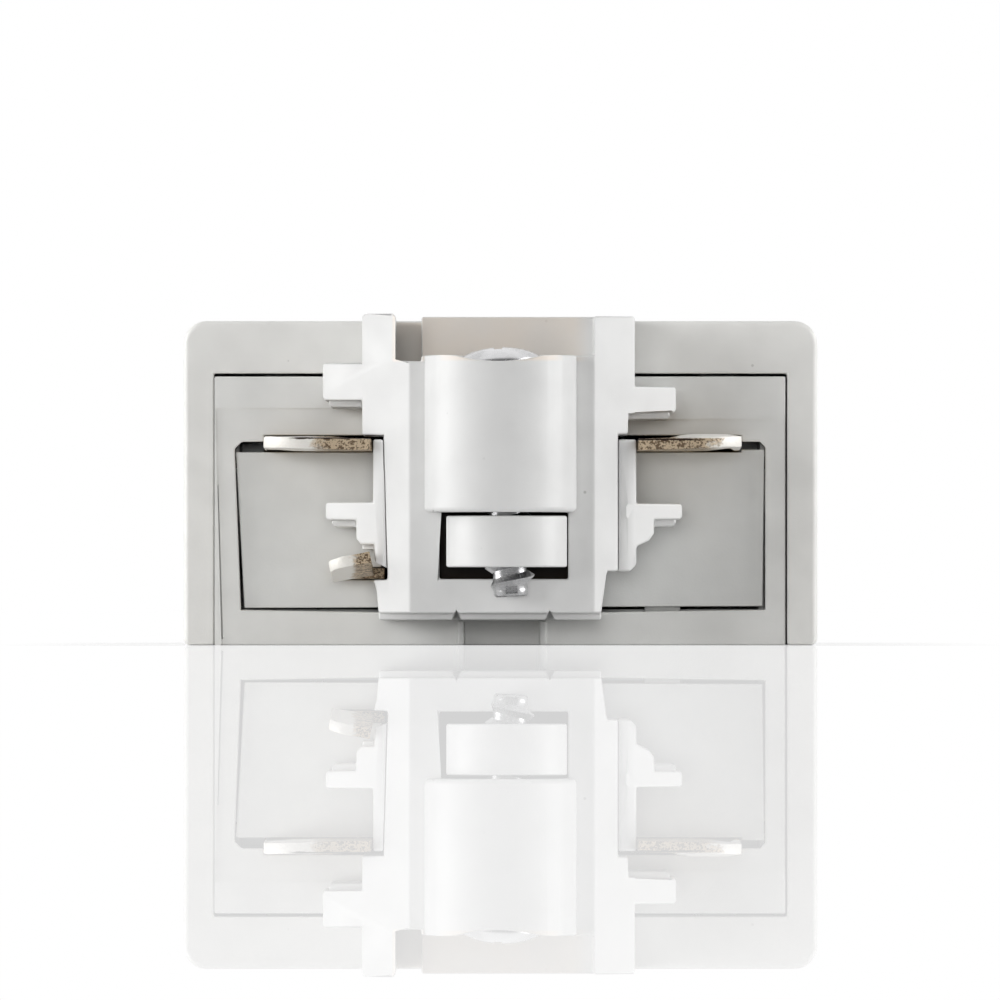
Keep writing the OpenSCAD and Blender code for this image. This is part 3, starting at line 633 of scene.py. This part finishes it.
# Fixing screws: two for the carrier's foot, two up into the tongues' roots, two down through the cover.
# Self-tapping, plated steel, with a cross recess; the last four have countersunk heads.
ROOT_Y = 31.8 * MM
COVER_SEAT = 18.15 * MM
FLOOR_SEAT = 0.1 * MM
CARRIER_SEAT = (8 * MM, 20 * MM, 3.6 * MM)
ROOT_THREAD = (0.95, 1.34, 1.0)
CARRIER_THREAD = (0.8, 1.08, 1.0)
SUNK_HEAD = [(0.95, -1.5), (1.34, -1.25), (2.56, -0.08), (2.6, 0), (2.5, 0)]
PAN_HEAD = [(0.8, 0), (1.9, 0), (2.08, 0.12), (2.1, 0.3), (2.1, 0.9), (1.95, 1.2), (1.6, 1.36), (1.1, 1.4)]
FIXING_CROSS = (2.7 * MM, 0.6 * MM, 0.9 * MM)


def fixings(name, node, body, length, thread, head, places):
    """A set of like self-tapping screws; each points down at its place, with its seat at z = 0."""
    core = thread[0]
    tip = [(core, 0.9 - length), (0.6 * core, 0.4 - length), (0.15, -length)]
    both = bmesh.new()
    for place in places:
        one = screw_form(thread, tip, head, place)
        spare = bpy.data.meshes.new("spare")
        one.to_mesh(spare)
        one.free()
        both.from_mesh(spare)
        bpy.data.meshes.remove(spare)
    piece = finished(both, name, screw_steel, body, "screw_steel", node)
    top = head[-1][1] * MM
    carved(piece, *[cross(*FIXING_CROSS, place, top) for place in places])


upside_down = Matrix.Rotation(math.pi, 4, "X")
fixings("cover_fixings", "cover_screws", "cover", 8.5, ROOT_THREAD, SUNK_HEAD,
        [Matrix.Translation((0, y, COVER_SEAT)) for y in (-ROOT_Y, ROOT_Y)])
fixings("tongue_fixings", "tongue_screws", "housing", 8, ROOT_THREAD, SUNK_HEAD,
        [Matrix.Translation((0, y, FLOOR_SEAT)) @ upside_down for y in (-ROOT_Y, ROOT_Y)])
fixings("carrier_fixings", "carrier_screws", "housing", 3.0, CARRIER_THREAD, PAN_HEAD,
        [Matrix.Translation((side * CARRIER_SEAT[0], *CARRIER_SEAT[1:])) for side in (-1, 1)])

# Cover: the outer shell, lifted off over the tray once its two screws are out.
# Light grey plastic with a finish a little coarser than the tray's, with a painted warm shade on its end
# face over the boss.
COVER_TINT = (0.865, 0.86, 0.835)
COVER_EDGE = 0.12 * MM
COVER_SIDE = 17.8 * MM
COVER_TOP = 18.2 * MM
COVER_END = 37.95 * MM
RIM_EDGE = 0.3 * MM
RIM_WALL = 1.7 * MM


def outer_rim(edge):
    """Whether an edge is one of the two rims that the shell ends in, on its outside."""
    ends = [v.co for v in edge.verts]
    at_end = all(abs(v.y) > COVER_END for v in ends)
    outside = all(abs(v.x) > COVER_SIDE - RIM_WALL / 2 or v.z > COVER_TOP - RIM_WALL / 2 for v in ends)
    return at_end and outside


shell_plastic = moulded_plastic("light grey moulded plastic", COVER_TINT, 0.44, 0.16 * MM, 0.006 * MM,
                                stains=(painted_warm_shade,))
shell = clean_form("cover")
rounded(shell, RIM_EDGE, 3, outer_rim)
rounded(shell, COVER_EDGE)
finished(shell, "shell", shell_plastic, "cover", "shell_plastic", "cover")

# Floor: a plain white sheet of polished board, which shows a faint mirror image at a low angle.
# Close to the object it is lit as it lies; farther off it is as white as the background.
FLOOR_SIZE = 60.0
BOARD_WHITE = (0.82, 0.82, 0.82, 1)
WHITE = (1, 1, 1, 1)
GLOW_CLOSE = 0.65
MIRROR_SHARE = 0.36
OBJECT_HALF = (cad_box[1][0], cad_box[1][1], 0)
board = Finish("white board")
beside = board.node("ShaderNodeVectorMath", {"operation": "ABSOLUTE"}, {0: board.place()})
beside = board.node("ShaderNodeVectorMath", {"operation": "SUBTRACT"}, {0: beside, 1: OBJECT_HALF})
beside = board.node("ShaderNodeVectorMath", {"operation": "MAXIMUM"}, {0: beside, 1: (0, 0, 0)})
away = board.node("ShaderNodeVectorMath", {"operation": "LENGTH"}, {0: beside}, "Value")
matt = board.node("ShaderNodeBsdfDiffuse", None, {"Color": BOARD_WHITE})
glow = board.node("ShaderNodeEmission", None, {"Color": WHITE, "Strength": 1.0})
seen = board.node("ShaderNodeLightPath", out="Is Camera Ray")
share = seen * (GLOW_CLOSE + (1 - GLOW_CLOSE) * board.ramp(away, 1 * MM, 12 * MM))
lit = board.node("ShaderNodeMixShader", None, {0: share, 1: matt, 2: glow})
gloss = board.node("ShaderNodeBsdfGlossy", None, {"Color": WHITE, "Roughness": 0.0})
share = board.node("ShaderNodeFresnel", None, {"IOR": 1.45}) * MIRROR_SHARE
board.close(board.node("ShaderNodeMixShader", None, {0: share, 1: lit, 2: gloss}))
ground = bmesh.new()
bmesh.ops.create_grid(ground, x_segments=1, y_segments=1, size=FLOOR_SIZE / 2)
sheet = bpy.data.meshes.new("floor")
ground.to_mesh(sheet)
ground.free()
sheet.materials.append(board.material)
floor = bpy.data.objects.new("floor", sheet)
bpy.context.scene.collection.objects.link(floor)

# Studio: a white background that is dimmer in front, with a soft lamp at each side and two in front.
# The front lamps stay out of the shine, so that metal and gloss show the tent and the side lamps.
FRONT_DARK = 0.2
TENT_LEVEL = 0.36
LIT_POINT = Vector((0, -0.045, 0.01))
scene = bpy.context.scene
studio = Finish("studio", bpy.data.worlds)
scene.world = studio.material
toward = studio.part(studio.node("ShaderNodeTexCoord", out="Generated"), "Y")
tent = FRONT_DARK + (1 - FRONT_DARK) * studio.ramp(toward, -0.8, 0.0)
seen = studio.node("ShaderNodeLightPath", out="Is Camera Ray")
mirrored = studio.node("ShaderNodeLightPath", out="Is Glossy Ray")
strength = seen + (1 - seen) * tent * (TENT_LEVEL + (1 - TENT_LEVEL) * mirrored)
studio.close(studio.node("ShaderNodeBackground", None, {"Color": WHITE, "Strength": strength}),
             "ShaderNodeOutputWorld")


def softbox(name, place, size, watts, shine):
    """A rectangular area lamp that faces the tongue, stays out of the picture, and may leave no shine."""
    lamp = bpy.data.lights.new(name, "AREA")
    lamp.shape = "RECTANGLE"
    lamp.size, lamp.size_y = size
    lamp.energy = watts
    holder = bpy.data.objects.new(name, lamp)
    holder.location = place
    holder.rotation_euler = (LIT_POINT - Vector(place)).to_track_quat("-Z", "Y").to_euler()
    holder.visible_camera = False
    holder.visible_glossy = shine
    scene.collection.objects.link(holder)


softbox("left softbox", (-0.40, -0.06, 0.14), (0.3, 0.3), 1.2, True)
softbox("right softbox", (0.44, -0.06, 0.14), (0.3, 0.3), 1.38, True)
softbox("front left softbox", (-0.55, -0.95, 0.14), (0.3, 0.2), 1.95, False)
softbox("low front softbox", (-0.03, -1.25, 0.05), (0.16, 0.08), 2.4, False)

# Camera: far off on a long lens, almost on the floor, as the photograph was taken.
# It looks along the track at the end wall, with as many pixels to a millimetre as the photograph.
PIXELS = 1000
FLOOR_ROW = 645
SCALE = 17.8 / MM
END_WALL = -38 * MM
DISTANCE = 1.5
EYE = 2 * MM
camera = bpy.data.cameras.new("camera")
camera.sensor_width = 36
camera.lens = camera.sensor_width * DISTANCE * SCALE / PIXELS
camera.clip_start = 0.01
camera.clip_end = 50
aim = Vector((-0.5 / SCALE, END_WALL, (FLOOR_ROW - PIXELS / 2) / SCALE))
holder = bpy.data.objects.new("camera", camera)
holder.location = (aim.x, END_WALL - DISTANCE, EYE)
holder.rotation_euler = (aim - holder.location).to_track_quat("-Z", "Y").to_euler()
scene.collection.objects.link(holder)
scene.camera = holder
scene.view_settings.view_transform = "Standard"
